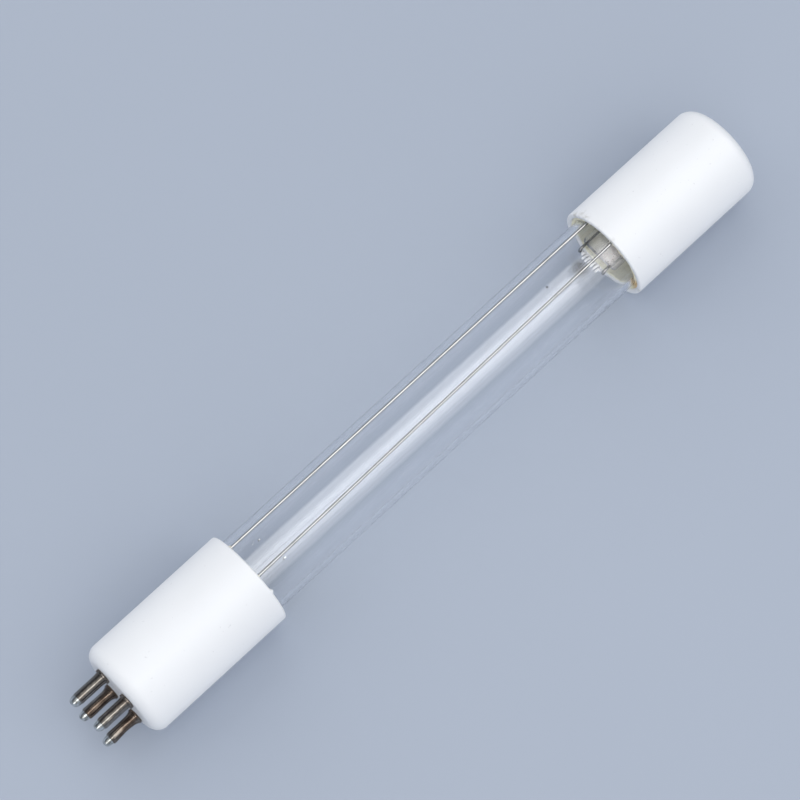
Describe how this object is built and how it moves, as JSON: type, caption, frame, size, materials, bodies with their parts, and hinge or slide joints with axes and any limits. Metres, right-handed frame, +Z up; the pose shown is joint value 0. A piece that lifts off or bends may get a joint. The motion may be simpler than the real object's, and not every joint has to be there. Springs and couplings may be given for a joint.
{
  "type": "uvc germicidal lamp tube",
  "caption": "Straight single-ended UVC germicidal lamp: clear quartz tube, white ceramic base with four contact pins, blank white ceramic end cap and two return wires along the glass.",
  "frame": {"origin": "on the surface that the lamp lies on, under the middle of its whole length, pin tips to blank end face", "axes": "+X along the tube towards the blank end cap, pins towards -X, +Y across the tube, +Z up; the lamp lies on the lowest facets of its two round caps"},
  "size_m": [0.1562, 0.019, 0.019],
  "materials": {
    "glazed_ceramic": "white, glazed, satin gloss",
    "quartz": "clear, polished",
    "stem_glass": "cloudy where it was pressed",
    "pin_plating": "nickel plated, lightly tarnished",
    "solder": "bright soft solder",
    "nickel_wire": "bright drawn nickel",
    "tungsten": "drawn tungsten with white emitter",
    "cement": "matt beige basing cement",
    "mercury": "liquid metal"
  },
  "bodies": {
    "root": {"base_shell": "glazed_ceramic", "end_cap": "glazed_ceramic", "quartz_tube": "quartz", "stem_near": "stem_glass", "stem_far": "stem_glass", "filament_near": "tungsten", "filament_far": "tungsten", "lead_near_1": "nickel_wire", "lead_near_2": "nickel_wire", "lead_far_1": "nickel_wire", "lead_far_2": "nickel_wire", "splice_sleeve_1": "nickel_wire", "splice_sleeve_2": "nickel_wire", "return_wire_1": "nickel_wire", "return_wire_2": "nickel_wire", "cement_near": "cement", "cement_far": "cement", "pin_1": "pin_plating", "pin_2": "pin_plating", "pin_3": "pin_plating", "pin_4": "pin_plating", "solder_tip_1": "solder", "solder_tip_2": "solder", "solder_tip_3": "solder", "solder_tip_4": "solder", "mercury_bead_1": "mercury", "mercury_bead_2": "mercury"}
  },
  "joints": []
}
